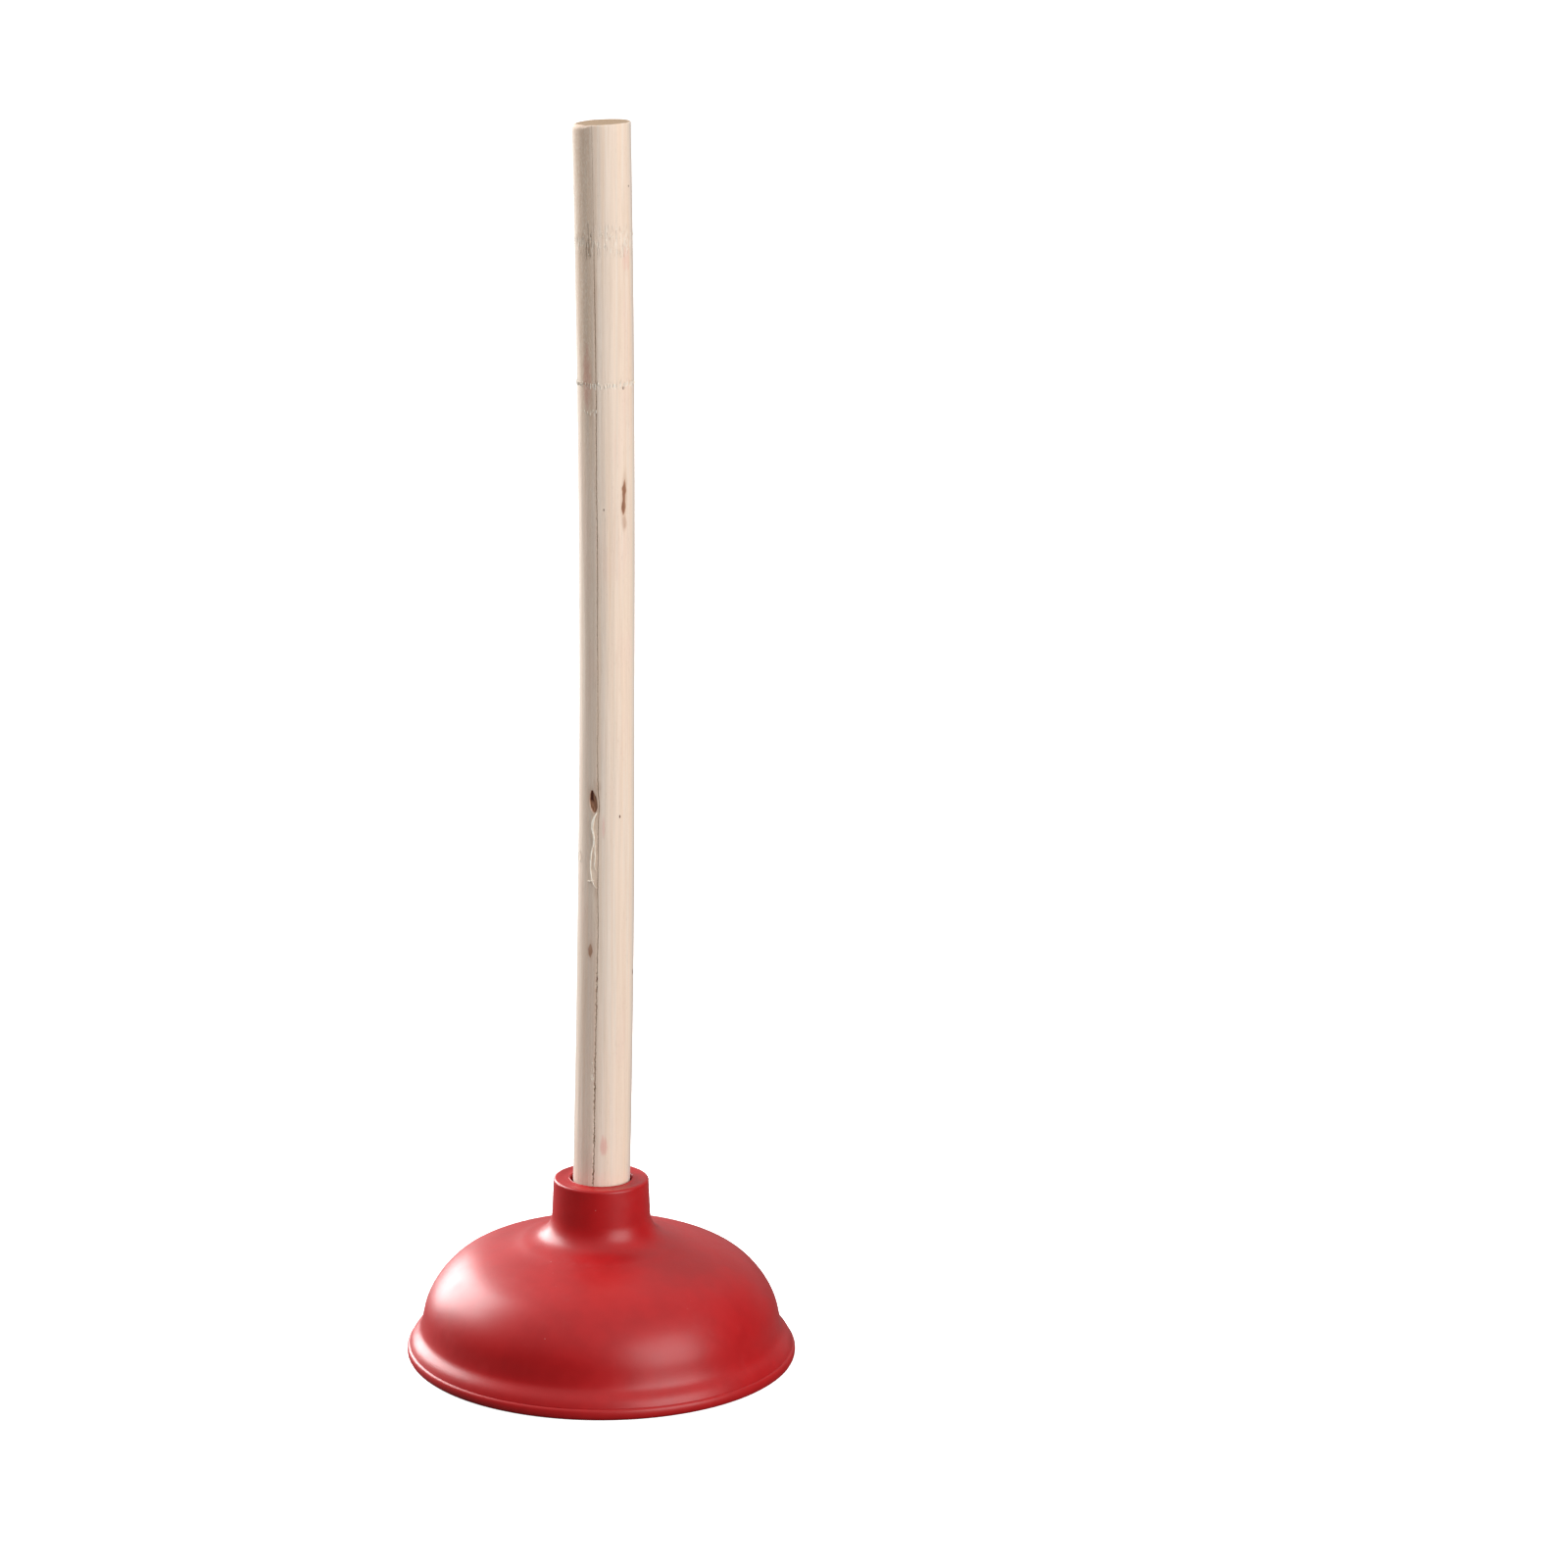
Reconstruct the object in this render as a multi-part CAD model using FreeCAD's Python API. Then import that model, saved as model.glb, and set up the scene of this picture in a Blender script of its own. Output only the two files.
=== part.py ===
import FreeCAD, Part
import math
import os

from FreeCAD import Vector

# Sink plunger: a rubber cup on a wooden handle, held by one screw and washer from inside the bell.
# Millimetres, +Z up. The origin is the middle of the lip's resting plane, and the handle stands on +Z.

# Whole object
overall_height = 473.2
clearance = 0.3  # kept between the rubber and everything that moves with the handle

# Lip: a rounded bead under a small crease
lip_radius = 75.0
bead_widest = (lip_radius, 2.4)
bead_under = (74.5, 0.6)
bead_over = (74.8, 3.7)
crease = (74.15, 4.7)
lip_flat_outer = 73.0
lip_flat_inner = 70.4

# Bell, outside: radius and height of the few places that set its curve
flare_way = (-0.4, 1.0)
flare_low = (73.2, 6.6)
flare = (71.7, 8.6)
flare_high = (70.25, 10.4)
flare_waist = (69.6, 12.0)
flank = (68.1, 18.6)
shoulder_low = (62.1, 30.0)
shoulder = (56.0, 36.0)
crown = (44.0, 41.7)
crown_edge = (31.0, 45.5)
crown_edge_way = (-1.0, 0.36)
neck_sweep = (22.3, 49.0)

# Bell, inside
inner_lip = (69.3, 1.3)
inner_flare = (66.6, 9.0)
inner_flank = (64.6, 17.0)
inner_shoulder = (55.6, 31.4)
inner_crown = (42.0, 38.0)
inner_top = (19.0, 42.3)
inner_top_way = (1.0, 0.0)
inner_lip_way = (0.25, -1.0)
lip_inside_corner = (69.65, 0.35)

# Neck and its blind socket
neck_foot = (18.82, 56.6)
neck_wall_way = (-0.03, 1.0)
neck_top_radius = 18.2
neck_top_height = 70.6
neck_edge_round = 1.1
mouth_radius = 11.85
mouth_round = 0.6
lead_in_end = (11.6, 66.1)
socket_radius = 11.2
socket_taper_end = 60.0
socket_floor_height = 46.2
washer_pad_radius = 15.0
washer_pad_root_radius = 15.8
washer_pad_height = 40.8
screw_hole_radius = 2.9

# Handle: a turned stick, thinner at its middle and bowed a little towards +X above the neck
handle_foot_height = socket_floor_height + clearance
handle_stations = [  # height up the object, diameter
    (handle_foot_height, 21.2),
    (72.0, 21.9),
    (160.0, 21.7),
    (206.0, 21.2),
    (262.0, 20.7),
    (320.0, 20.95),
    (406.0, 21.4),
    (overall_height + 4.0, 21.5),  # a little spare, cut off aslant
]
handle_bow = 2.2
bow_start_height = 64.0
handle_edge_round = 2.0
handle_cut_drop = 1.0  # how much lower the top's -X side is cut
foot_chamfer = 1.0
waste_size = 60.0
pilot_radius = 1.75
pilot_depth = 34.0

# Fixing screw and washer
washer_outer_radius = 12.5
washer_hole_radius = 2.75
washer_thickness = 1.5
screw_head_radius = 4.8
screw_head_height = 3.2
screw_length = 38.0
screw_root_radius = 1.75
screw_crest_radius = 2.4
screw_pitch = 2.2
screw_tip_length = 5.0
recess_width = 1.1
recess_length = 4.8
recess_depth = 1.9

washer_top = washer_pad_height - clearance
washer_bottom = washer_top - washer_thickness


def at(radius, height):
    return Vector(radius, 0, height)


def line(start, end):
    return Part.LineSegment(at(*start), at(*end)).toShape()


def arc(start, middle, end):
    return Part.Arc(at(*start), at(*middle), at(*end)).toShape()


def curve(points, start_way, end_way):
    """A smooth curve through the points, leaving and arriving along the two directions."""
    spline = Part.BSplineCurve()
    spline.interpolate(
        Points=[at(*point) for point in points],
        InitialTangent=at(*start_way),
        FinalTangent=at(*end_way),
    )
    return spline.toShape()


def quarter_round(centre, radius, start_angle, end_angle):
    """An arc about centre, with its angles in degrees from the outward direction."""

    def spot(angle):
        turn = math.radians(angle)
        return (centre[0] + radius * math.cos(turn), centre[1] + radius * math.sin(turn))

    return arc(spot(start_angle), spot((start_angle + end_angle) / 2), spot(end_angle))


def turned(edges):
    """The solid that a closed outline beside the Z axis sweeps."""
    wire = Part.Wire(edges)
    return Part.Face(wire).revolve(Vector(0, 0, 0), Vector(0, 0, 1), 360)


def rubber_cup():
    """One moulding: lip bead, flared bell, neck, and a blind socket with a screw hole in its floor."""
    neck_side_end = (neck_top_radius, neck_top_height - neck_edge_round)
    mouth_edge = (mouth_radius + mouth_round, neck_top_height)
    mouth_wall = (mouth_radius, neck_top_height - mouth_round)
    socket_wall = (socket_radius, socket_taper_end)
    socket_corner = (socket_radius, socket_floor_height)
    hole_top = (screw_hole_radius, socket_floor_height)
    hole_bottom = (screw_hole_radius, washer_pad_height)
    pad_edge = (washer_pad_radius, washer_pad_height)
    pad_root = (washer_pad_root_radius, inner_top[1])
    outline = [
        line((lip_flat_inner, 0), (lip_flat_outer, 0)),
        arc((lip_flat_outer, 0), bead_under, bead_widest),
        arc(bead_widest, bead_over, crease),
        curve(
            [
                crease,
                flare_low,
                flare,
                flare_high,
                flare_waist,
                flank,
                shoulder_low,
                shoulder,
                crown,
                crown_edge,
            ],
            flare_way,
            crown_edge_way,
        ),
        curve([crown_edge, neck_sweep, neck_foot], crown_edge_way, neck_wall_way),
        line(neck_foot, neck_side_end),
        quarter_round((neck_top_radius - neck_edge_round, neck_side_end[1]), neck_edge_round, 0, 90),
        line((neck_top_radius - neck_edge_round, neck_top_height), mouth_edge),
        quarter_round((mouth_edge[0], mouth_wall[1]), mouth_round, 90, 180),
        line(mouth_wall, lead_in_end),
        line(lead_in_end, socket_wall),
        line(socket_wall, socket_corner),
        line(socket_corner, hole_top),
        line(hole_top, hole_bottom),
        line(hole_bottom, pad_edge),
        line(pad_edge, pad_root),
        line(pad_root, inner_top),
        curve(
            [inner_top, inner_crown, inner_shoulder, inner_flank, inner_flare, inner_lip],
            inner_top_way,
            inner_lip_way,
        ),
        arc(inner_lip, lip_inside_corner, (lip_flat_inner, 0)),
    ]
    return turned(outline)


def bow_at(height):
    """How far the stick's middle stands towards +X at a height: none inside the neck, most halfway up."""
    middle = (bow_start_height + overall_height) / 2
    half = (overall_height - bow_start_height) / 2
    return max(0.0, handle_bow * (1 - ((height - middle) / half) ** 2))


def wooden_handle():
    """The bowed stick, cut a little aslant at the top, rounded there, with a pilot hole in its foot."""
    rings = []
    for height, diameter in handle_stations:
        ring = Part.Circle(Vector(bow_at(height), 0, height), Vector(0, 0, 1), diameter / 2)
        rings.append(Part.Wire(ring.toShape()))
    stick = Part.makeLoft(rings, True, False)

    slant = math.degrees(math.atan2(handle_cut_drop, handle_stations[-1][1]))
    waste = Part.makeBox(waste_size, waste_size, waste_size, Vector(-waste_size / 2, -waste_size / 2, 0))
    waste.rotate(Vector(0, 0, 0), Vector(0, 1, 0), -slant)
    waste.translate(Vector(0, 0, overall_height - handle_cut_drop / 2))
    stick = stick.cut(waste)
    top_edges = [edge for edge in stick.Edges if edge.BoundBox.ZMin > overall_height - 5]
    stick = stick.makeFillet(handle_edge_round, top_edges)
    foot_edges = [edge for edge in stick.Edges if edge.BoundBox.ZMax < handle_foot_height + 0.1]
    stick = stick.makeChamfer(foot_chamfer, foot_edges)

    pilot = Part.makeCylinder(pilot_radius, pilot_depth, Vector(0, 0, handle_foot_height))
    return stick.cut(pilot)


def fixing_washer():
    """A plain flat washer between the screw's head and the rubber."""
    place = Vector(0, 0, washer_bottom)
    disc = Part.makeCylinder(washer_outer_radius, washer_thickness, place)
    hole = Part.makeCylinder(washer_hole_radius, washer_thickness, place)
    return disc.cut(hole)


def fixing_screw():
    """A pan-head wood screw pointing up, its thread stood for by a stack of sharp rings."""
    head_top = washer_bottom
    head_bottom = head_top - screw_head_height
    tip = head_top + screw_length
    thread_top = tip - screw_tip_length
    thread_start = handle_foot_height + 2.0
    outline = [
        (0, head_bottom),
        (screw_head_radius * 0.55, head_bottom + 0.1),
        (screw_head_radius * 0.9, head_bottom + 1.0),
        (screw_head_radius, head_bottom + 2.1),
        (screw_head_radius, head_top),
        (screw_crest_radius, head_top),
        (screw_crest_radius, thread_start),
        (screw_root_radius, thread_start + 0.6),
    ]
    crest = thread_start + 0.6 + screw_pitch / 2
    while crest + screw_pitch / 2 < thread_top:
        outline.append((screw_root_radius, crest - screw_pitch * 0.2))
        outline.append((screw_crest_radius, crest))
        outline.append((screw_root_radius, crest + screw_pitch * 0.2))
        crest += screw_pitch
    outline.append((screw_root_radius, thread_top))
    outline.append((0, tip))
    corners = [at(*point) for point in outline]
    profile = Part.Face(Part.makePolygon(corners + corners[:1]))
    screw = profile.revolve(Vector(0, 0, 0), Vector(0, 0, 1), 360)
    for turn in (45, 135):
        slot = Part.makeBox(
            recess_length,
            recess_width,
            recess_depth,
            Vector(-recess_length / 2, -recess_width / 2, head_bottom),
        )
        slot.rotate(Vector(0, 0, 0), Vector(0, 0, 1), turn)
        screw = screw.cut(slot)
    return screw


def main():
    pieces = {
        "rubber_cup": rubber_cup(),
        "wooden_handle": wooden_handle(),
        "fixing_washer": fixing_washer(),
        "fixing_screw": fixing_screw(),
    }
    os.makedirs("parts", exist_ok=True)
    for name, shape in pieces.items():
        solid = shape.Solids[0]
        box = solid.BoundBox
        print(name, "valid", solid.isValid(), "solids", len(shape.Solids), "volume", round(solid.Volume))
        print("  z", round(box.ZMin, 2), round(box.ZMax, 2), "x", round(box.XMin, 2), round(box.XMax, 2))
        solid.exportStep(f"parts/{name}.step")


main()
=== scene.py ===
import math

import bmesh
import bpy
import numpy as np
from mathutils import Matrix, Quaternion, Vector


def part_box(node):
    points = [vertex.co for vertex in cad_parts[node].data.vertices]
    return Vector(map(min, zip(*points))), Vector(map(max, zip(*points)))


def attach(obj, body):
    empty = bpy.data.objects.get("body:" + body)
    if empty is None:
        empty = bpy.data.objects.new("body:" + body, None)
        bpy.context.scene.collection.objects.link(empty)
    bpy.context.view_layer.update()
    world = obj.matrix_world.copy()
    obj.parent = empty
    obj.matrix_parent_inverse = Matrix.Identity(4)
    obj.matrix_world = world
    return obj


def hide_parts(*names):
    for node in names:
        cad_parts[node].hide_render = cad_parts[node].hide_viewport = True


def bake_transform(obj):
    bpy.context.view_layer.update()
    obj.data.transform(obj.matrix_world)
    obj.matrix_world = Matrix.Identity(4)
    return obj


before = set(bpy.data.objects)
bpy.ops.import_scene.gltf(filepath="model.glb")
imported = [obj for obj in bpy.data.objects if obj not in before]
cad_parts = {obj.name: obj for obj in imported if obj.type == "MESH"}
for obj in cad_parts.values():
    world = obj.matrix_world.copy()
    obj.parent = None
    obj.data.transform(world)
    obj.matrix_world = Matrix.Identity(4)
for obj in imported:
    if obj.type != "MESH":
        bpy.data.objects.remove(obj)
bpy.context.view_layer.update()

mm = 0.001  # the dictionaries below are in millimetres and degrees
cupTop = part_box("rubber_cup")[1].z / mm
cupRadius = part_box("rubber_cup")[1].x / mm
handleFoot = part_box("wooden_handle")[0].z / mm
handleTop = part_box("wooden_handle")[1].z / mm
print("frame:", ", ".join(sorted(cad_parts)))


class Wire:  # a node's output that can stand in a sum
    def __init__(self, nodes, socket):
        self.nodes = nodes
        self.socket = socket

    def sum(self, operation, first, second):
        return self.nodes.node("ShaderNodeMath", {"operation": operation}, {0: first, 1: second})

    def __add__(self, other):
        return self.sum("ADD", self, other)

    def __sub__(self, other):
        return self.sum("SUBTRACT", self, other)

    def __rsub__(self, other):
        return self.sum("SUBTRACT", other, self)

    def __mul__(self, other):
        return self.sum("MULTIPLY", self, other)

    def __truediv__(self, other):
        return self.sum("DIVIDE", self, other)

    def __rtruediv__(self, other):
        return self.sum("DIVIDE", other, self)

    __radd__ = __add__
    __rmul__ = __mul__


class Nodes:
    def __init__(self, tree):
        self.tree = tree

    def node(self, kind, settings, sockets, output=0):
        made = self.tree.nodes.new(kind)
        for name, value in settings.items():
            setattr(made, name, value)
        for name, value in sockets.items():
            if isinstance(value, Wire):
                self.tree.links.new(value.socket, made.inputs[name])
            else:
                made.inputs[name].default_value = value
        return Wire(self, made.outputs[output])

    def rise(self, value, low, high):  # from 0 at low to 1 at high, without corners
        sockets = {"Value": value, "From Min": low, "From Max": high}
        return self.node("ShaderNodeMapRange", {"interpolation_type": "SMOOTHSTEP"}, sockets)

    def axes(self, place):
        split = self.node("ShaderNodeSeparateXYZ", {}, {0: place})
        return [Wire(self, split.socket.node.outputs[axis]) for axis in "XYZ"]


class Finish(Nodes):  # one material
    def __init__(self, name):
        self.material = bpy.data.materials.new(name)
        self.material.use_nodes = True
        super().__init__(self.material.node_tree)
        self.skin = self.tree.nodes["Principled BSDF"]
        self.place = self.node("ShaderNodeTexCoord", {}, {}, "Object")

    def vector(self, operation, first, second, output=0):
        return self.node("ShaderNodeVectorMath", {"operation": operation}, {0: first, 1: second}, output)

    def stretch(self, along, shift=0.0):  # places squeezed along Z, so that patterns run with the stick
        sockets = {0: self.place, 1: (1, 1, along), 2: (shift, shift, shift)}
        return self.node("ShaderNodeVectorMath", {"operation": "MULTIPLY_ADD"}, sockets)

    def noise(self, place, size, detail=2.0, rough=0.5):  # size is a blotch's width in millimetres
        sockets = {"Vector": place, "Scale": 1 / (size * mm), "Detail": detail, "Roughness": rough}
        return self.node("ShaderNodeTexNoise", {}, sockets)

    def mark(self, name):  # a shade that the mesh carries
        return self.node("ShaderNodeAttribute", {"attribute_name": name}, {}, "Fac")

    def mix(self, share, first, second, way="MIX"):
        paints = [paint if isinstance(paint, Wire) else (*paint, 1) for paint in (first, second)]
        sockets = {0: share, 6: paints[0], 7: paints[1]}
        return self.node("ShaderNodeMix", {"data_type": "RGBA", "blend_type": way}, sockets, 2)

    def bump(self, height, distance, strength=1.0):
        sockets = {"Height": height, "Distance": distance * mm, "Strength": strength}
        return self.node("ShaderNodeBump", {}, sockets)

    def wear(self, **sockets):  # sets the skin's own sockets
        for name, value in sockets.items():
            socket = self.skin.inputs[name.replace("_", " ")]
            if isinstance(value, Wire):
                self.tree.links.new(value.socket, socket)
            else:
                socket.default_value = value
        return self.material


def smoothLine(points, startWay, endWay, step):
    # the curve without kinks through the points, leaving and arriving along the two ways
    knots = np.array(points, float)
    spans = np.linalg.norm(np.diff(knots, axis=0), axis=1)
    system = np.eye(len(knots))
    wanted = np.zeros(knots.shape)
    wanted[0] = np.array(startWay) / np.linalg.norm(startWay)
    wanted[-1] = np.array(endWay) / np.linalg.norm(endWay)
    for i in range(1, len(knots) - 1):
        before, after = 1 / spans[i - 1], 1 / spans[i]
        system[i, i - 1 : i + 2] = before, 2 * (before + after), after
        wanted[i] = 3 * (knots[i] - knots[i - 1]) * before**2
        wanted[i] += 3 * (knots[i + 1] - knots[i]) * after**2
    slopes = np.linalg.solve(system, wanted)
    line = []
    for i, span in enumerate(spans):
        for t in np.linspace(0, 1, max(2, round(span / step)), endpoint=False):
            start = (1 + 2 * t) * (1 - t) ** 2 * knots[i] + t * (1 - t) ** 2 * span * slopes[i]
            end = t * t * (3 - 2 * t) * knots[i + 1] - t * t * (1 - t) * span * slopes[i + 1]
            line.append(start + end)
    return line


def roundTurn(centre, radius, startAngle, endAngle, steps):
    angles = np.radians(np.linspace(startAngle, endAngle, steps))
    return [(centre[0] + radius * math.cos(a), centre[1] + radius * math.sin(a)) for a in angles]


def straight(start, end, steps):
    start, end = np.array(start, float), np.array(end, float)
    return [start + (end - start) * t for t in np.linspace(0, 1, steps, endpoint=False)]


def pieceFromRings(name, rings, joinEnds, material):
    # rings is rows x columns x 3 in millimetres; its ends are joined, or closed with a fan each
    rows, columns = rings.shape[:2]
    corners = list(map(tuple, rings.reshape(-1, 3) * mm))
    faces = []
    for row in range(rows if joinEnds else rows - 1):
        low, high = row * columns, (row + 1) % rows * columns
        for column in range(columns):
            following = (column + 1) % columns
            faces.append((low + column, low + following, high + following, high + column))
    if not joinEnds:
        for row in (0, rows - 1):
            corners.append(tuple(rings[row].mean(axis=0) * mm))
            for column in range(columns):
                following = (column + 1) % columns
                faces.append((row * columns + column, row * columns + following, len(corners) - 1))
    mesh = bpy.data.meshes.new(name)
    mesh.from_pydata(corners, [], faces)
    shaper = bmesh.new()
    shaper.from_mesh(mesh)
    bmesh.ops.recalc_face_normals(shaper, faces=shaper.faces)
    shaper.to_mesh(mesh)
    shaper.free()
    mesh.shade_smooth()
    mesh.set_sharp_from_angle(angle=math.radians(40))
    mesh.materials.append(material)
    piece = bpy.data.objects.new(name, mesh)
    bpy.context.scene.collection.objects.link(piece)
    return piece


def turnedRings(outline, sides):
    outline = np.array(outline, float)
    angles = np.linspace(0, 2 * math.pi, sides, endpoint=False)
    around = np.stack([np.cos(angles), np.sin(angles)], axis=1)
    flat = outline[:, None, :1] * around[None]
    upright = np.repeat(outline[:, None, 1:], sides, axis=1)
    return np.concatenate([flat, upright], axis=2)


def wander(across, along, cells, seed):
    # smooth noise from -1 to 1; across counts cells round the stick and meets itself after `cells`
    table = np.random.default_rng(seed).uniform(-1, 1, (cells, 997))
    across, along = np.broadcast_arrays(np.asarray(across, float), np.asarray(along, float))
    i, j = np.floor(across).astype(int), np.floor(along).astype(int)
    s, t = across - i, along - j
    s, t = s * s * (3 - 2 * s), t * t * (3 - 2 * t)

    def corner(di, dj):
        return table[(i + di) % cells, (j + dj) % 997]

    near = corner(0, 0) * (1 - s) + corner(1, 0) * s
    far = corner(0, 1) * (1 - s) + corner(1, 1) * s
    return near * (1 - t) + far * t


def ease(value, low, high):
    t = np.clip((value - low) / (high - low), 0, 1)
    return t * t * (3 - 2 * t)


cup = {
    "sides": 240,
    "step": 0.95,
    "lipFlat": (70.4, 73.0),
    "bead": [(73.0, 0.0), (73.85, 0.18), (74.5, 0.65), (74.88, 1.4), (75.0, 2.4), (74.93, 3.2), (74.72, 3.9)],
    "groove": [(74.4, 4.3), (74.12, 4.42), (73.98, 4.5), (73.96, 4.58), (74.02, 4.68)],
    "flareWay": (-0.4, 1.0),
    "bell": [
        (73.95, 4.85),
        (73.15, 6.6),
        (71.65, 8.6),
        (70.2, 10.4),
        (69.55, 12.0),
        (68.05, 18.6),
        (62.1, 30.0),
        (56.0, 36.0),
        (44.0, 41.65),
        (31.0, 45.5),
    ],
    "crownWay": (-1.0, 0.36),
    "sweep": [(31.0, 45.5), (22.3, 49.0), (18.82, 56.6)],
    "neckWay": (-0.03, 1.0),
    "neckTop": 18.2,
    "neckRound": 1.1,
    "faceDip": 0.3,
    "mouth": 11.85,
    "flash": 0.36,
    "socket": [(11.6, 66.1), (11.2, 60.0)],
    "socketFloor": 46.2,
    "screwHole": 2.9,
    "padHeight": 40.8,
    "pad": 15.0,
    "ceiling": [(19.0, 42.3), (42.0, 38.0), (55.6, 31.4), (64.6, 17.0), (66.6, 9.0), (69.3, 1.3)],
    "ceilingWay": (1.0, 0.0),
    "lipWay": (0.25, -1.0),
    "lipInside": [(69.62, 0.4), (70.0, 0.1)],
    "outOfRound": 0.16,
    "red": (0.455, 0.0048, 0.0062),
    "deepRed": (0.39, 0.0036, 0.005),
    "haze": (0.50, 0.09, 0.09),
    "dust": (0.80, 0.50, 0.47),
    "roughness": 0.41,
    "gloss": 0.39,
    "film": 0.18,
    "filmRoughness": 0.27,
}


def redRubber():
    f = Finish("redRubber")
    z = f.axes(f.place)[2]
    cloud = f.noise(f.place, 30, 3)
    mottle = f.noise(f.place, 5, 3)
    fine = f.noise(f.place, 0.9, 2)
    tone = f.rise(cloud * 0.7 + mottle * 0.3, 0.34, 0.66)
    paint = f.mix(tone, cup["deepRed"], cup["red"])
    scuff = f.rise(f.noise(f.place, 12, 5, 0.65), 0.54, 0.76)
    paint = f.mix(scuff * 0.05, paint, cup["haze"])
    settings = {"feature": "F1", "distance": "EUCLIDEAN"}
    grit = f.node("ShaderNodeTexVoronoi", settings, {"Vector": f.place, "Scale": 1 / (6 * mm)})
    speck = f.rise(grit, 0.036, 0.022) * f.rise(f.noise(f.place, 16, 2), 0.49, 0.55)
    paint = f.mix(speck * 0.4, paint, cup["dust"])
    hem = f.rise(z, 5.0 * mm, 1.0 * mm)  # the lip's underside is rubbed
    roughness = cup["roughness"] + (mottle - 0.5) * 0.07 + (fine - 0.5) * 0.06
    roughness = roughness + hem * 0.12 + scuff * 0.05
    peel = f.noise(f.place, 1.8, 2)
    return f.wear(
        Base_Color=paint,
        Roughness=roughness,
        Normal=f.bump(peel * 0.7 + fine * 0.3, 0.03, 0.5),
        IOR=1.5,
        Specular_IOR_Level=cup["gloss"],
        Coat_Weight=cup["film"],
        Coat_Roughness=cup["filmRoughness"],
        Coat_IOR=1.4,
    )


def cupOutline():
    c = cup
    faceHeight = cupTop - c["faceDip"]
    roundCentre = (c["neckTop"] - c["neckRound"], cupTop - c["neckRound"])
    outline = straight((c["lipFlat"][0], 0), (c["lipFlat"][1], 0), 4)
    outline += c["bead"] + c["groove"]
    outline += smoothLine(c["bell"], c["flareWay"], c["crownWay"], c["step"])
    outline += smoothLine(c["sweep"], c["crownWay"], c["neckWay"], c["step"] * 0.7)
    outline += straight(c["sweep"][-1], (c["neckTop"], roundCentre[1]), 10)
    outline += roundTurn(roundCentre, c["neckRound"], 0, 90, 8)
    outline += [(roundCentre[0] - 0.8, cupTop - 0.05), (roundCentre[0] - 1.8, faceHeight + 0.05)]
    outline += straight((roundCentre[0] - 2.8, faceHeight), (c["mouth"] + 1.1, faceHeight), 4)
    flash = c["flash"] / 2  # the thin raised ring round the mouth
    outline += roundTurn((c["mouth"] + flash + 0.1, cupTop - flash), flash, 20, 180, 7)
    outline += straight((c["mouth"], cupTop - c["flash"]), c["socket"][0], 5)
    outline += straight(c["socket"][0], c["socket"][1], 6)
    outline += straight(c["socket"][1], (c["socket"][1][0], c["socketFloor"] + 0.8), 10)
    outline += roundTurn((c["socket"][1][0] - 0.8, c["socketFloor"] + 0.8), 0.8, 0, -90, 5)
    outline += straight((c["socket"][1][0] - 1.6, c["socketFloor"]), (c["screwHole"], c["socketFloor"]), 6)
    outline += straight((c["screwHole"], c["socketFloor"] - 0.1), (c["screwHole"], c["padHeight"]), 6)
    outline += straight((c["screwHole"] + 0.1, c["padHeight"]), (c["pad"] - 0.5, c["padHeight"]), 8)
    outline += roundTurn((c["pad"] - 0.4, c["padHeight"] + 0.4), 0.4, -90, 0, 4)
    outline += [(c["pad"] + 0.3, c["ceiling"][0][1] - 0.6), (c["pad"] + 0.9, c["ceiling"][0][1] - 0.12)]
    outline += straight((c["pad"] + 1.6, c["ceiling"][0][1]), c["ceiling"][0], 3)
    outline += smoothLine(c["ceiling"], c["ceilingWay"], c["lipWay"], c["step"] * 1.3)
    return outline + [c["ceiling"][-1]] + c["lipInside"]


def makeCup():
    rings = turnedRings(cupOutline(), cup["sides"])
    angles = np.arctan2(rings[..., 1], rings[..., 0])
    low = ease(rings[..., 2], 60, 10)  # the bell is a little out of round, and the neck isn't
    slack = 1 + 0.5 * np.cos(2 * angles + 0.7) + 0.5 * np.cos(3 * angles + 2.1)
    shrink = 1 - low * cup["outOfRound"] / cupRadius * slack
    rings[..., 0] *= shrink
    rings[..., 1] *= shrink
    return pieceFromRings("rubberCup", rings, True, redRubber())


rubberCup = makeCup()
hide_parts("rubber_cup")
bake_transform(rubberCup)
print("rubber cup:", len(rubberCup.data.polygons), "faces")


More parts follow.
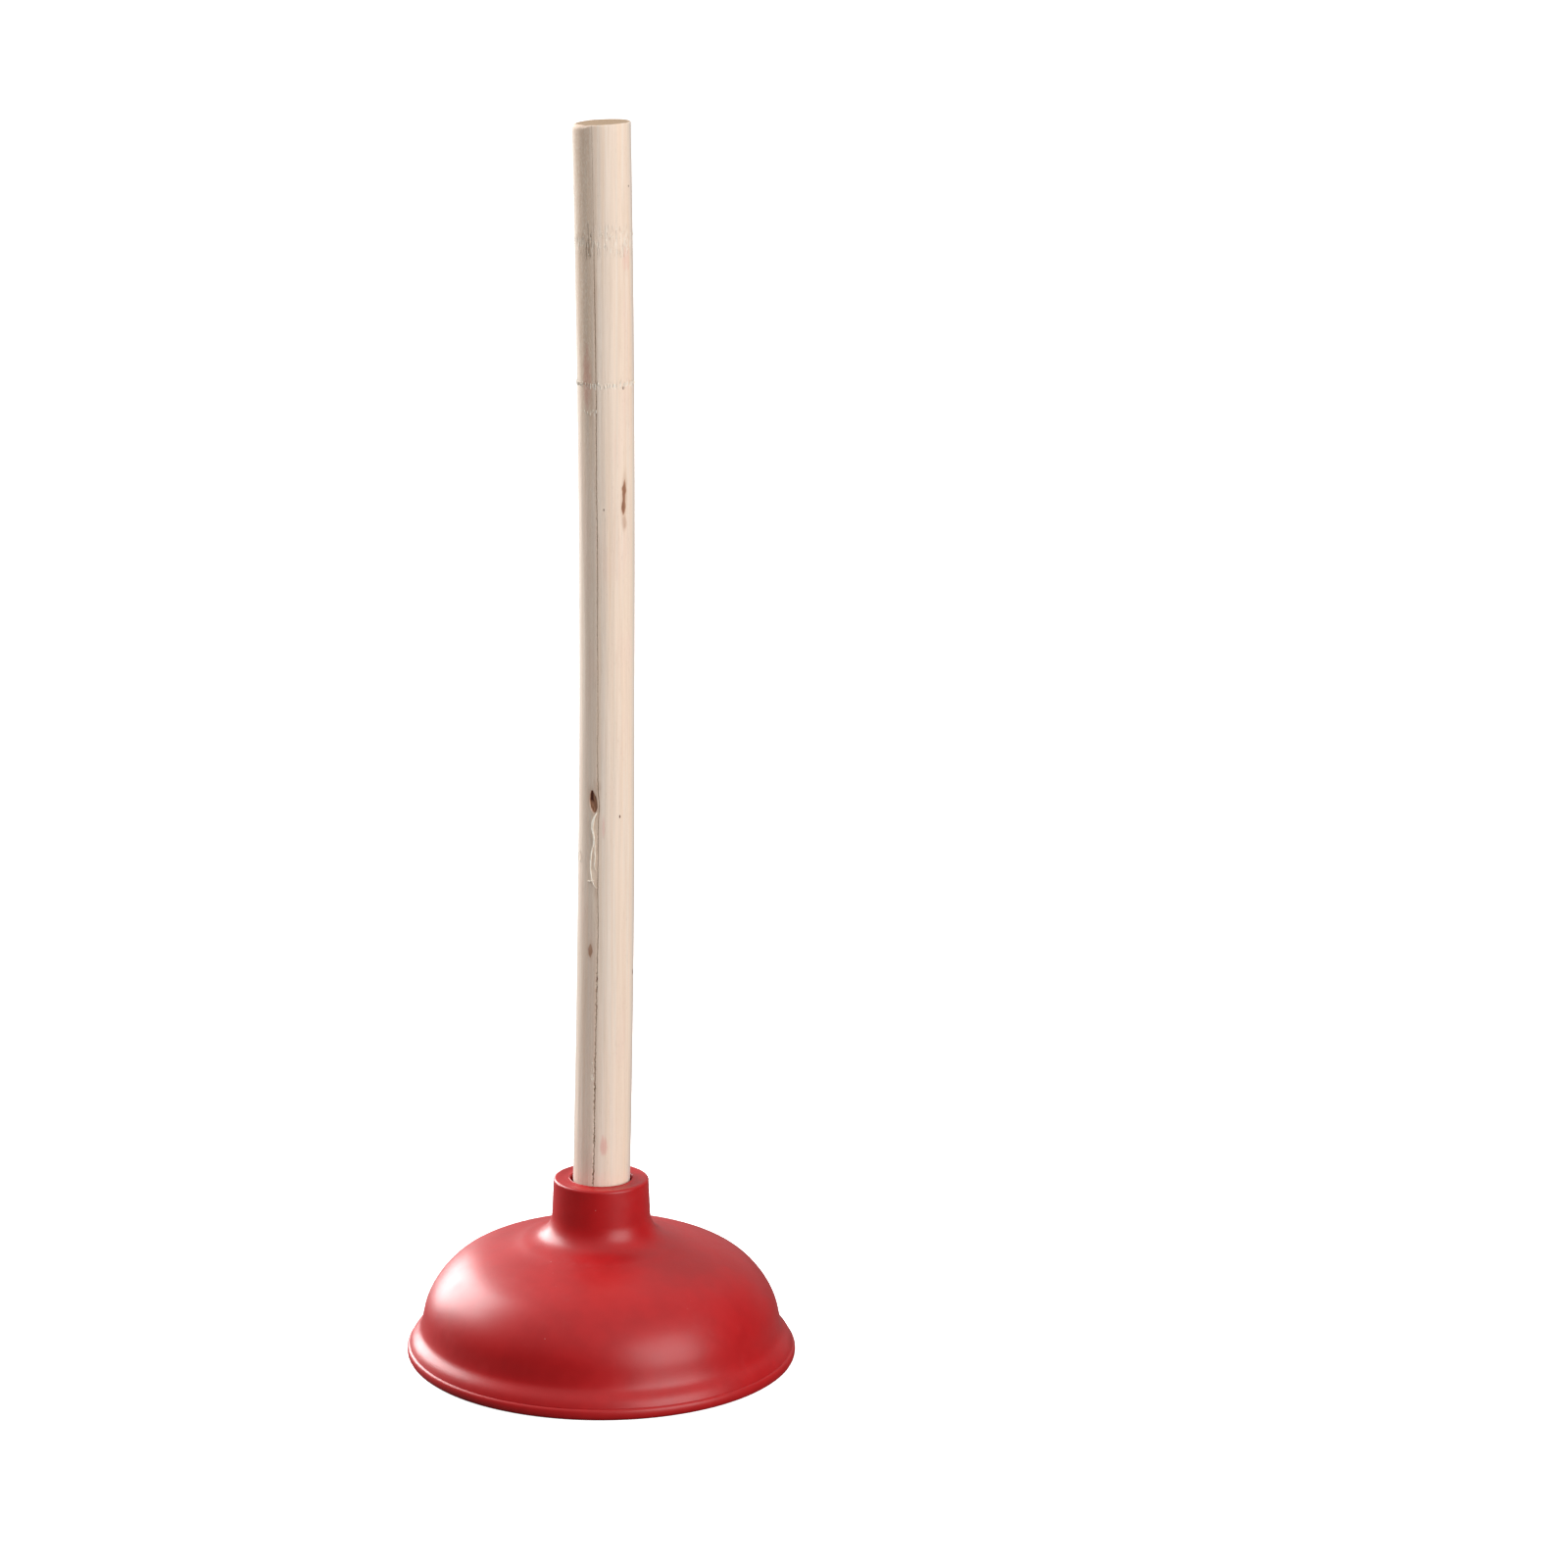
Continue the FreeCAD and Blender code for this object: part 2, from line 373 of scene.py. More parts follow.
stick = {
    "columns": 186,
    "crowding": 0.45,  # 1 spreads the columns evenly, less crowds them at the crack
    "waist": [  # height, width
        (handleFoot, 21.2), (72, 21.9), (160, 21.7), (206, 21.2), (262, 20.7), (320, 20.95), (406, 21.4),
    ],
    "topWidth": 21.5,
    "bow": 2.2,
    "bowFrom": 64.0,
    "edgeRound": (1.7, 0.6),  # at the low side of the cut and everywhere else
    "cutDrop": 1.0,
    "cutFade": (14, 3),  # how far below the top the slant of the cut begins and is full
    "topZone": 4.0,  # the last stretch up to the top edge, with rows of its own
    "dings": [(-34, 7, 0.25), (62, 4, 0.18)],  # in the top edge: angle, width in degrees, depth
    "footChamfer": 1.0,
    "pilot": (1.7, 34.0),
    "rowStep": 1.25,
    "fineStep": 0.55,
    "fineZones": [(104, 120), (146, 168), (184, 230), (326, 346), (362, 383), (418, 438)],
    "crackAngle": -18.5,
    "nearCrack": 30,  # degrees to each side in which the columns follow it
    "crackLine": [(72, -17.6), (115, -17.5), (174, -15.9), (190, -18), (222, -19), (340, -21), (377, -19.6)],
    "crackOpen": [  # height, half width
        (70, 0.19), (125, 0.18), (150, 0.15), (160, 0.12), (218, 0.11), (226, 0.16), (240, 0.07), (275, 0.07),
        (300, 0.12), (400, 0.12), (425, 0.07), (432, 0.0),
    ],
    "crackNicks": [(152.0, 1.6), (149.0, 1.1), (109.0, 1.8), (89.0, 1.4), (75.0, 1.6)],  # height, half height
    "crackDepth": 0.10,
    # angle, height, half width, half height, lean, depth, darkness below and above, widths from bottom to top
    "knots": [
        (
            37.5, 335.6, 1.0, 6.7, 0.05, 0.3, 0.70, 0.66,
            [0.0, 0.6, 1.0, 0.85, 0.55, 0.65, 0.9, 1.0, 0.5, 0.15],
        ),
        (-28.8, 220.4, 1.65, 4.2, -0.13, 0.7, 0.62, 1.0, [0.0, 0.6, 0.9, 1.0, 1.0, 0.95, 0.8, 0.62, 0.3]),
        (-32.3, 163.0, 1.1, 2.8, 0.0, 0.06, 0.34, 0.3, [0.2, 0.8, 1.0, 0.7, 0.2]),
    ],
    "dots": [  # angle, height, half width
        (-5.7, 331.5, 0.22), (37.4, 376.5, 0.30), (27.7, 215.0, 0.28), (74.0, 153.0, 0.45),
        (61.5, 450.0, 0.22), (118.0, 300.0, 0.36), (-140.0, 190.0, 0.42), (160.0, 395.0, 0.36),
    ],
    # angle, height, half width, half height, strength
    "pinkStains": [
        (1.2, 86.5, 1.9, 4.7, 0.45), (-6.5, 211.0, 0.8, 5.5, 0.26), (50.0, 424.0, 3.0, 6.0, 0.22),
        (-40.0, 380.0, 2.4, 16.0, 0.22), (-26.0, 78.0, 3.0, 9.0, 0.10),
    ],
    "brownStains": [
        (-41.0, 380.0, 2.3, 16.0, 0.26), (37.8, 326.5, 1.5, 5.0, 0.50), (-23.0, 225.0, 2.4, 6.0, 0.22),
        (-21.0, 186.0, 0.8, 3.5, 0.16), (-17.0, 405.0, 1.2, 22.0, 0.14), (-28.5, 372.0, 1.8, 16.0, 0.12),
        (-21.5, 138.0, 1.2, 34.0, 0.15),
    ],
    # lowest, highest, angles, strength
    "roughBands": [
        (424.5, 436.5, (-185, 185), 1.0), (376.2, 379.4, (-185, 185), 0.8), (366.4, 368.8, (-58, -18), 0.6),
    ],
    "tears": [  # height, spread, angles, count, length, depth
        (430.0, 3.4, (-180, 180), 80, 1.8, 0.14),
        (377.5, 0.9, (-180, 180), 64, 0.9, 0.10),
        (367.5, 0.9, (-59, -19), 9, 0.8, 0.10),
        (334.0, 5.0, (-52, -13), 8, 0.7, 0.08),
        (115.0, 3.0, (-26, -19), 7, 0.9, 0.14),
        (198.0, 3.0, (-72, -61), 5, 1.0, 0.10),
    ],
    "scratches": [  # angle, height, half height, depth
        (-31.0, 430.5, 7.5, 0.16), (-24.5, 431.0, 3.5, 0.10),
        (-28.0, 427.0, 3.0, 0.10), (-35.5, 427.0, 4.0, 0.10),
    ],
    "pale": (0.915, 0.76, 0.635),
    "cream": (0.89, 0.71, 0.57),
    "pinkish": (0.89, 0.67, 0.555),
    "peach": (0.93, 0.71, 0.54),
    "greyish": (0.86, 0.755, 0.66),
    "paintedSideShade": (0.655, 0.60, 0.55),  # painted shade: the stick's sides and back, greyed and darkened where the lamps light them strongly
    "bandTint": (0.86, 0.81, 0.76),
    "shaded": (0.67, 0.495, 0.355),
    "pore": (0.45, 0.30, 0.19),
    "split": (0.17, 0.095, 0.052),
    "splitEdge": (0.50, 0.33, 0.215),
    "nick": (0.27, 0.165, 0.095),
    "torn": (0.95, 0.89, 0.79),
    "knot": (0.115, 0.033, 0.014),
    "knotEdge": (0.43, 0.215, 0.125),
    "endGrain": (0.41, 0.28, 0.17),
    "endRing": (0.30, 0.195, 0.115),
    "pith": (-13, 9, 0),  # the middle of the tree's rings
    "ringWidth": 1.9,
    "smear": (0.78, 0.30, 0.26),
}


def bareWood():
    f = Finish("bareWood")
    x = f.axes(f.place)[0]
    broad = f.noise(f.stretch(0.03), 3.2, 2)
    bands = f.noise(f.stretch(0.02, 3.0), 1.2, 3, 0.6)
    hair = f.noise(f.stretch(0.035, 7.0), 0.34, 3, 0.6)
    pores = f.noise(f.stretch(0.09, 1.3), 0.26, 1)
    blotch = f.noise(f.stretch(0.25, 5.0), 9, 2)
    nap = f.noise(f.stretch(0.25, 9.0), 0.3, 2)
    shadedFace = f.mark("shadedFace")
    torn = f.mark("pale")
    knot = f.mark("knot")
    halo = f.mark("halo")
    cut = f.mark("endGrain")

    side = f.rise(x + (broad - 0.5) * 0.004, 0.001, 0.007)
    paint = f.mix(side, stick["pale"], stick["cream"])
    paint = f.mix(f.rise(blotch, 0.50, 0.72) * 0.5, paint, stick["pinkish"])
    paint = f.mix(f.rise(f.noise(f.stretch(0.015, 11.0), 2.2, 2), 0.50, 0.64) * 0.4, paint, stick["peach"])
    paint = f.mix(f.rise(f.noise(f.stretch(0.015, 17.0), 1.8, 2), 0.51, 0.64) * 0.4, paint, stick["greyish"])
    paint = f.mix(shadedFace * (0.6 + broad * 0.4), paint, stick["shaded"])
    # painted shade: greys and darkens the sides and back under the strong lamp light
    paint = f.mix(f.mark("paintedSideShade") * 0.85, paint, stick["paintedSideShade"])
    grain = f.mix(f.rise(bands, 0.30, 0.70), stick["bandTint"], (1, 1, 1))
    paint = f.mix(0.5, paint, grain, "MULTIPLY")
    paint = f.mix(f.rise(hair, 0.56, 0.74) * 0.16, paint, stick["pore"])
    paint = f.mix(f.rise(nap, 0.48, 0.66) * (0.05 + shadedFace * 0.34), paint, stick["torn"])
    dash = f.rise(pores, 0.66, 0.76) * f.rise(blotch, 0.35, 0.6)
    paint = f.mix(dash * 0.28, paint, stick["pore"])
    paint = f.mix(halo * (0.75 + hair * 0.5), paint, stick["knotEdge"])
    paint = f.mix(f.mark("pink") * (0.6 + hair * 0.8), paint, stick["smear"])
    paint = f.mix(f.rise(knot, 0.05, 0.45), paint, stick["knotEdge"])
    paint = f.mix(f.rise(knot + (hair - 0.5) * 0.4, 0.50, 0.95), paint, stick["knot"])
    for angle, level, half in stick["dots"]:
        gap = f.vector("SUBTRACT", f.place, tuple(onWood(angle, level, 0) * mm))
        gap = f.vector("MULTIPLY", gap, (1, 1, 0.42))  # a dot is longer along the grain
        gap = f.vector("LENGTH", gap, (0, 0, 0), "Value") / mm + (hair - 0.5) * 0.15
        paint = f.mix(f.rise(gap, half * 1.25, half * 0.55), paint, stick["knot"])

    rough = f.mark("rough")
    nick = f.rise(f.noise(f.stretch(0.09, 2.2), 0.4, 3, 0.6), 0.56, 0.66) * rough
    fleck = f.rise(f.noise(f.stretch(0.16, 6.1), 0.5, 2), 0.56, 0.66) * rough
    paint = f.mix(nick * 0.5, paint, stick["nick"])
    paint = f.mix(f.mark("scratch") * (0.5 + hair * 0.7), paint, stick["nick"])
    paint = f.mix(torn * 0.8, paint, stick["torn"])
    paint = f.mix(fleck * 0.5, paint, stick["torn"])

    waver = (f.noise(f.stretch(0.7, 4.0), 1.0, 3, 0.7) - 0.5) * (0.5 + f.mark("ragged") * 1.2)
    distance = f.node("ShaderNodeMath", {"operation": "ABSOLUTE"}, {0: f.mark("fromCrack") + waver})
    within = f.mark("crack") * (0.75 + f.noise(f.stretch(0.4, 8.0), 1.1, 2) * 0.5) - distance
    paint = f.mix(f.rise(within, -0.26, 0.02) * 0.55, paint, stick["splitEdge"])
    split = f.rise(within, -0.07, 0.09)
    paint = f.mix(split * (0.65 + f.mark("nicks") * 0.35), paint, stick["split"])

    fromPith = f.vector("SUBTRACT", f.place, tuple(Vector(stick["pith"]) * mm))
    reach = f.vector("LENGTH", f.vector("MULTIPLY", fromPith, (1, 1, 0)), (0, 0, 0), "Value")
    warp = f.noise(f.place, 4, 2)
    rings = reach / (stick["ringWidth"] * mm) + warp * 0.5
    ring = f.node("ShaderNodeMath", {"operation": "FRACT"}, {0: rings})
    speckle = f.noise(f.place, 0.35, 2)
    sawn = f.mix(f.rise(ring, 0.62, 0.98) * 0.8, stick["endGrain"], stick["endRing"])
    sawn = f.mix(f.rise(speckle, 0.52, 0.66) * 0.35, sawn, stick["pore"])
    paint = f.mix(cut, paint, sawn)

    height = hair * 0.8 + bands * 0.5 + nap * (0.3 + shadedFace * 1.6) - dash * 0.6 - split * 2.5
    height = height + fleck * 1.2 - nick * 1.8
    return f.wear(
        Base_Color=paint,
        Roughness=0.62 + (hair - 0.5) * 0.25 + shadedFace * 0.1 + torn * 0.1 + cut * 0.15,
        Normal=f.bump(height + speckle * cut, 0.08, 0.55),
        IOR=1.45,
        Specular_IOR_Level=0.45,
    )


def bowAt(height):
    middle, half = (stick["bowFrom"] + handleTop) / 2, (handleTop - stick["bowFrom"]) / 2
    return stick["bow"] * np.clip(1 - ((height - middle) / half) ** 2, 0, 1)


def stickWidth(height):
    places = np.array(stick["waist"] + [(handleTop, stick["topWidth"])])
    fine = np.linspace(handleFoot, handleTop, 120)
    widths = np.interp(fine, places[:, 0], places[:, 1])
    for _ in range(30):  # rounds off the corners between the measured widths
        widths[1:-1] = (widths[:-2] + widths[1:-1] * 2 + widths[2:]) / 4
    return np.interp(height, fine, widths)


def onWood(angle, height, lift):
    turn = math.radians(angle)
    reach = stickWidth(height) / 2 + lift
    return Vector((reach * math.sin(turn) + bowAt(height), -reach * math.cos(turn), height))


def sideStep(angle, middle):  # degrees from one side of the stick to another, the short way round
    return (angle - middle + 180) % 360 - 180


def crackPath(height):
    places = np.array(stick["crackLine"])
    path = np.interp(height, places[:, 0], places[:, 1])
    path = path + 0.6 * wander(0, height / 40, 1, 11) + 0.35 * wander(0, height / 10, 1, 12)
    return path + 2.6 * np.exp(-(((height - 219) / 5) ** 2))  # it turns aside round the dark knot


def stickRows():
    heights = [handleFoot + stick["footChamfer"]]
    while heights[-1] < handleTop - stick["topZone"] - 0.6:
        fine = any(low <= heights[-1] <= high for low, high in stick["fineZones"])
        heights.append(heights[-1] + (stick["fineStep"] if fine else stick["rowStep"]))
    return np.array(heights)


def stickMarks(angle, height, offset):
    # what stands out of the stick at each corner, in millimetres, and how each mark is shaded
    perDegree = math.pi / 360 * stickWidth(height)
    press = 0.05 * wander(angle / 40, height / 130, 9, 21) + 0.03 * wander(angle / 7.5, height / 48, 48, 22)
    press += 0.014 * wander(angle / 2.4, height / 13, 150, 23)
    lowFace = ease(height, 330, 180)
    soft, topFace = ease(height, 200, 360), ease(height, 330, 400)  # higher up, the tone changes softly
    shadedFace = ease(offset, 0.6 + 12 * soft, -0.6 - 20 * soft) * (0.20 + 0.64 * topFace - 0.10 * lowFace)
    shadedFace = shadedFace * np.maximum(ease(offset, -60, -30), 0.8 * topFace)
    press += 0.02 * shadedFace * wander(angle / 1.8, height / 1.7, 200, 24)
    shade = {name: 0 * press for name in ("pale", "knot", "halo", "pink", "rough", "nicks", "scratch")}
    shade["shadedFace"] = shadedFace
    # painted shade on the sides and back, where the lamps light the wood strongly
    shade["paintedSideShade"] = ease(offset, -46, -62) + 0.8 * ease(offset, 76, 96) + 0.2 * ease(offset, 140, 175)

    places = np.array(stick["crackOpen"])
    opening = np.interp(height, places[:, 0], places[:, 1])
    for level, half in stick["crackNicks"]:
        nick = ease(np.abs(height - level), half, half * 0.3)
        opening = opening + 0.09 * nick
        shade["nicks"] = np.maximum(shade["nicks"], nick)
    across = offset * perDegree
    press -= stick["crackDepth"] * (opening / 0.2) * np.exp(-((across / (0.12 + opening)) ** 2))
    nearCrack = np.abs(offset) < stick["nearCrack"]
    shade["crack"] = np.where(nearCrack, opening, -9.0)  # the split's half width, none far from it
    shade["fromCrack"] = np.clip(across, -4, 4)
    shade["ragged"] = ease(height, 175, 140)

    for middle, level, halfWidth, halfHeight, lean, depth, darkLow, darkHigh, widths in stick["knots"]:
        up = (height - level) / halfHeight
        side = sideStep(angle, middle) * perDegree - lean * (height - level)
        side = side + 0.12 * wander(0, height / 1.3, 1, 41)
        body = halfWidth * np.interp(up, np.linspace(-1, 1, len(widths)), widths, left=0, right=0)
        core = ease(body - np.abs(side), -0.12, 0.22) * (np.abs(up) < 1)
        press -= depth * core * (0.6 + 0.4 * wander(angle / 4, height / 1.5, 90, 42))
        darkness = darkLow + (darkHigh - darkLow) * ease(up, -0.1, 0.4) * ease(side, 0.6, -0.2)
        shade["knot"] = np.maximum(shade["knot"], core * darkness)
        near = np.sqrt((side / halfWidth) ** 2 + up**2)
        shade["halo"] = np.maximum(shade["halo"], 0.5 * darkLow * ease(near, 1.9, 0.9))
    for name, stains in (("pink", stick["pinkStains"]), ("halo", stick["brownStains"])):
        for middle, level, halfWidth, halfHeight, strength in stains:
            side = sideStep(angle, middle) * perDegree / halfWidth
            near = np.sqrt(side**2 + ((height - level) / halfHeight) ** 2)
            ragged = 0.25 * wander(angle / 3, height / 2.2, 120, 43)
            shade[name] = np.maximum(shade[name], strength * ease(near + ragged, 1.0, 0.35))

    for low, high, angles, strength in stick["roughBands"]:
        band = ease(height, low - 0.8, low + 0.8) * ease(height, high + 0.8, high - 0.8)
        middle, reach = (angles[0] + angles[1]) / 2, (angles[1] - angles[0]) / 2
        band = band * ease(np.abs(sideStep(angle, middle)), reach, reach - 5)
        patchy = 0.7 + 0.5 * wander(angle / 9, height / 3, 40, 45)
        shade["rough"] = np.maximum(shade["rough"], strength * np.clip(band * patchy, 0, 1))

    chance = np.random.default_rng(7)
    for level, spread, angles, count, longest, depth in stick["tears"]:
        for _ in range(count):
            side = sideStep(angle, chance.uniform(*angles)) * perDegree
            rise, length = level + chance.normal() * spread * 0.5, longest * chance.uniform(0.5, 1.5)
            tear = np.exp(-((side / 0.2) ** 2)) * ease(np.abs(height - rise), length, length * 0.3)
            press -= depth * chance.uniform(0.4, 1.0) * tear
            shade["pale"] = np.maximum(shade["pale"], tear * 0.6)
    for middle, level, halfHeight, depth in stick["scratches"]:
        side = sideStep(angle, middle) * perDegree + 0.15 * wander(0, height / 2.5, 1, 44)
        scratch = np.exp(-((side / 0.16) ** 2)) * ease(np.abs(height - level), halfHeight, halfHeight * 0.6)
        press -= depth * scratch
        shade["scratch"] = np.maximum(shade["scratch"], scratch)
    return press, shade


def makeHandle():
    s = stick
    topHalf = s["topWidth"] / 2
    slant = s["cutDrop"] / 2 / topHalf
    shoulder = handleTop - s["cutDrop"] / 2
    profile = [(s["pilot"][0], handleFoot + lift) for lift in (s["pilot"][1], 20, 8, 0)]
    profile += [(r, handleFoot) for r in (3.5, 6.0, 8.0)]
    profile += [(stickWidth(handleFoot) / 2 - s["footChamfer"], handleFoot)]
    footRows = len(profile)
    profile += [(stickWidth(h) / 2, h) for h in stickRows()]
    profile += straight((topHalf, handleTop - s["topZone"]), (topHalf, shoulder - s["edgeRound"][0]), 3)
    sideRows = len(profile)
    low = roundTurn((topHalf - s["edgeRound"][0], shoulder - s["edgeRound"][0]), s["edgeRound"][0], 0, 90, 8)
    high = roundTurn((topHalf - s["edgeRound"][1], shoulder - s["edgeRound"][1]), s["edgeRound"][1], 0, 90, 8)
    inner = [(r, shoulder) for r in np.linspace(topHalf - s["edgeRound"][0] - 0.7, 0.5, 12)]
    profile = np.array(profile + low + inner)
    sharper = np.zeros(profile.shape)
    sharper[sideRows : sideRows + 8] = np.array(high) - np.array(low)

    step = np.linspace(-1, 1, s["columns"], endpoint=False)
    spread = 180 * (s["crowding"] * step + (1 - s["crowding"]) * step**5)
    height = np.repeat(profile[:, 1:], s["columns"], axis=1)
    offset = np.repeat(spread[None], len(profile), axis=0)
    drift = crackPath(height) - s["crackAngle"]
    angle = s["crackAngle"] + offset + drift * np.exp(-((offset / s["nearCrack"]) ** 2))
    press, shade = stickMarks(angle, height, offset)

    row = np.arange(len(profile))[:, None]
    onSide = ease(row, footRows - 1, footRows + 1) * (1 - ease(row, sideRows + 2, sideRows + 7))
    turn = np.radians(angle)
    highSide = ease(np.sin(turn), -0.85, -0.3)
    radius = profile[:, :1] + sharper[:, :1] * highSide + press * onSide
    x = radius * np.sin(turn)
    y = -radius * np.cos(turn)
    sawn = 0.05 * wander((x * 0.3 + y) / 0.9 + 40, 0, 80, 51) * (row > sideRows + 6)
    onEdge = (row >= sideRows) * (row < sideRows + 8)
    ding = sum(depth * np.exp(-(((angle - middle) / width) ** 2)) for middle, width, depth in s["dings"])
    z = height + sharper[:, 1:] * highSide - sawn - ding * onEdge
    z = z + slant * x * ease(height, handleTop - s["cutFade"][0], handleTop - s["cutFade"][1])
    rings = np.stack([x + bowAt(height), y, np.minimum(z, handleTop)], axis=2)

    piece = pieceFromRings("woodenHandle", rings, False, bareWood())
    shade["endGrain"] = np.repeat(ease(row, sideRows + 4, sideRows + 8), s["columns"], axis=1)
    for name, values in shade.items():
        values = values if name in ("endGrain", "crack", "fromCrack") else values * onSide
        ends = [values[0].mean(), values[-1].mean()]  # the two fans' middles
        held = piece.data.attributes.new(name, "FLOAT", "POINT")
        held.data.foreach_set("value", np.append(values.ravel(), ends))
    return piece


woodenHandle = makeHandle()
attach(woodenHandle, "handle")
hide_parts("wooden_handle")
print("wooden handle:", len(woodenHandle.data.polygons), "faces")

fibres = {
    "sides": 7,
    "colour": (1.0, 0.96, 0.87),
    "shadow": (0.92, 0.84, 0.71),
    # angle, height and lift off the wood, from the split down; the thickness is given at the middle
    "long": [
        (-20.2, 216.8, -0.10), (-24.8, 215.1, 0.55), (-27.9, 213.5, 0.70), (-29.6, 211.8, 0.75),
        (-29.1, 210.0, 0.75), (-26.3, 207.9, 0.70), (-25.5, 205.8, 0.65), (-26.3, 204.0, 0.65),
        (-29.1, 201.9, 0.70), (-30.6, 199.5, 0.75), (-31.2, 197.0, 0.80), (-31.2, 194.9, 0.80),
        (-29.6, 192.1, 0.75), (-27.5, 190.4, 0.70), (-24.2, 188.9, 0.65), (-19.4, 187.4, 0.10),
    ],
    "short": [
        (-19.4, 216.9, -0.10), (-23.4, 215.0, 0.50), (-26.0, 213.2, 0.60), (-27.5, 211.4, 0.65),
        (-26.8, 209.6, 0.65), (-24.7, 207.5, 0.60), (-23.7, 205.4, 0.60), (-23.2, 203.6, 0.60),
        (-22.8, 201.9, 0.65), (-22.2, 199.5, 0.70), (-22.8, 197.4, 0.70), (-22.8, 195.6, 0.70),
        (-20.2, 194.3, 0.15),
    ],
    "cross": [
        (-41.0, 189.7, 0.10), (-36.6, 190.1, 0.50), (-32.3, 190.1, 0.75), (-27.5, 190.5, 1.05),
        (-23.4, 190.4, 0.60),
    ],
    "edge": [(-68.4, 200.8, 0.00), (-67.0, 199.2, 0.60), (-67.9, 197.6, 0.65), (-65.5, 196.2, 0.10)],
    "step": 0.16,
    "thickness": {"long": 0.46, "short": 0.38, "cross": 0.28, "edge": 0.30},
}


def paleFibre():
    f = Finish("paleFibre")
    streak = f.noise(f.stretch(0.15), 0.18, 2)
    paint = f.mix(f.rise(streak, 0.42, 0.62), fibres["shadow"], fibres["colour"])
    return f.wear(
        Base_Color=paint, Roughness=0.6, Normal=f.bump(streak, 0.04, 0.5), IOR=1.45, Specular_IOR_Level=0.3
    )


def makeStrand(name, path, thickness, material, flat=0.9):
    # a tapered strand along the path; it lies a little flat on the wood
    points = [onWood(*place) for place in path]
    line = smoothLine(points, points[1] - points[0], points[-1] - points[-2], fibres["step"])
    line = [Vector(p) for p in line] + [points[-1]]
    rings = []
    for i, centre in enumerate(line):
        along = (line[min(i + 1, len(line) - 1)] - line[max(i - 1, 0)]).normalized()
        outward = Vector((centre.x - bowAt(centre.z), centre.y, 0)).normalized()
        sideways = along.cross(outward).normalized()
        outward = sideways.cross(along)
        share = i / (len(line) - 1)
        half = thickness / 2 * (0.25 + 0.75 * min(1, share / 0.12, (1 - share) / 0.2))
        half *= 1 + 0.18 * float(wander(0, i / 5, 1, 61))
        ring = []
        for side in range(fibres["sides"]):
            a = 2 * math.pi * side / fibres["sides"]
            ring.append(centre + sideways * math.cos(a) * half + outward * math.sin(a) * half * flat)
        rings.append(ring)
    return pieceFromRings(name, np.array(rings), False, material)


fibreFinish = paleFibre()
for strand in ("long", "short", "cross", "edge"):
    fibre = makeStrand(strand + "Fibre", fibres[strand], fibres["thickness"][strand], fibreFinish)
    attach(fibre, "handle")
print("loose fibres: 4")

slivers = {
    "bands": [  # height, scatter, angles, count, length, thickness, lean
        (377.7, 0.35, (-178, 178), 62, 2.2, 0.30, 0.25),
        (430.0, 3.0, (-70, 60), 18, 1.5, 0.18, 0.6),
        (430.5, 2.4, (60, 290), 26, 1.5, 0.18, 0.6),
        (367.5, 0.3, (-50, -18), 7, 1.2, 0.26, 0.3),
        (115.5, 1.8, (-26, -21), 5, 1.0, 0.26, 0.8),
    ],
    "lift": 0.2,
}


def makeSlivers():
    chance = np.random.default_rng(23)
    pieces = []
    for level, scatter, angles, count, longest, thickness, lean in slivers["bands"]:
        for i in range(count):
            angle = angles[0] + (angles[1] - angles[0]) * (i + chance.uniform(0.1, 0.9)) / count
            height, half = level + chance.normal() * scatter, longest * chance.uniform(0.25, 0.6)
            aside, lift = chance.normal() * lean, slivers["lift"] * chance.uniform(0.4, 1.2)
            path = [(angle - aside, height - half, -0.06), (angle, height, lift * 0.6)]
            path += [(angle + aside, height + half, lift)]
            name = "sliver%d" % len(pieces)
            pieces.append(makeStrand(name, path, thickness * chance.uniform(0.7, 1.2), fibreFinish, 0.5))
    with bpy.context.temp_override(active_object=pieces[0], selected_editable_objects=pieces):
        bpy.ops.object.join()
    pieces[0].name = "tornSlivers"
    return pieces[0]


tornSlivers = makeSlivers()
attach(tornSlivers, "handle")
print("slivers:", len(tornSlivers.data.polygons), "faces")

fixing = {
    "columns": 96,
    "washerHole": 2.75,
    "washerRadius": 12.5,
    "washer": (39.0, 40.5),
    "washerRound": 0.3,
    "headRadius": 4.8,
    "head": (35.8, 39.0),
    "headRound": 1.3,
    "headSide": 38.0,
    "recess": (1.1, 4.8, 1.9, 45.0),  # width, reach across, depth, angle
    "shank": (2.4, 48.5),
    "root": 1.75,
    "pitch": 2.2,
    "taper": 69.0,
    "tip": 77.0,
    "bright": (0.62, 0.60, 0.56),
    "dull": (0.47, 0.44, 0.38),
}


def platedSteel():
    f = Finish("platedSteel")
    cloud = f.noise(f.place, 5, 4, 0.6)
    fine = f.noise(f.place, 0.5, 3)
    tarnish = f.rise(cloud, 0.45, 0.62)
    return f.wear(
        Base_Color=f.mix(tarnish, fixing["bright"], fixing["dull"]),
        Metallic=1.0,
        Roughness=0.30 + tarnish * 0.14 + (fine - 0.5) * 0.12,
        Normal=f.bump(fine, 0.02, 0.4),
    )


def makeWasher():
    s = fixing
    low, high, turn = s["washer"][0], s["washer"][1], s["washerRound"]
    inner, outer = s["washerHole"], s["washerRadius"]
    outline = roundTurn((outer - turn, low + turn), turn, -90, 0, 5)
    outline += roundTurn((outer - turn, high - turn), turn, 0, 90, 5)
    outline += straight((outer - turn - 0.5, high), (inner + turn + 0.3, high), 6)
    outline += roundTurn((inner + turn, high - turn), turn, 90, 180, 5)
    outline += roundTurn((inner + turn, low + turn), turn, 180, 270, 5)
    outline += straight((inner + turn + 0.5, low), (outer - turn - 0.3, low), 6)
    return pieceFromRings("fixingWasher", turnedRings(outline, s["columns"]), True, steelFinish)


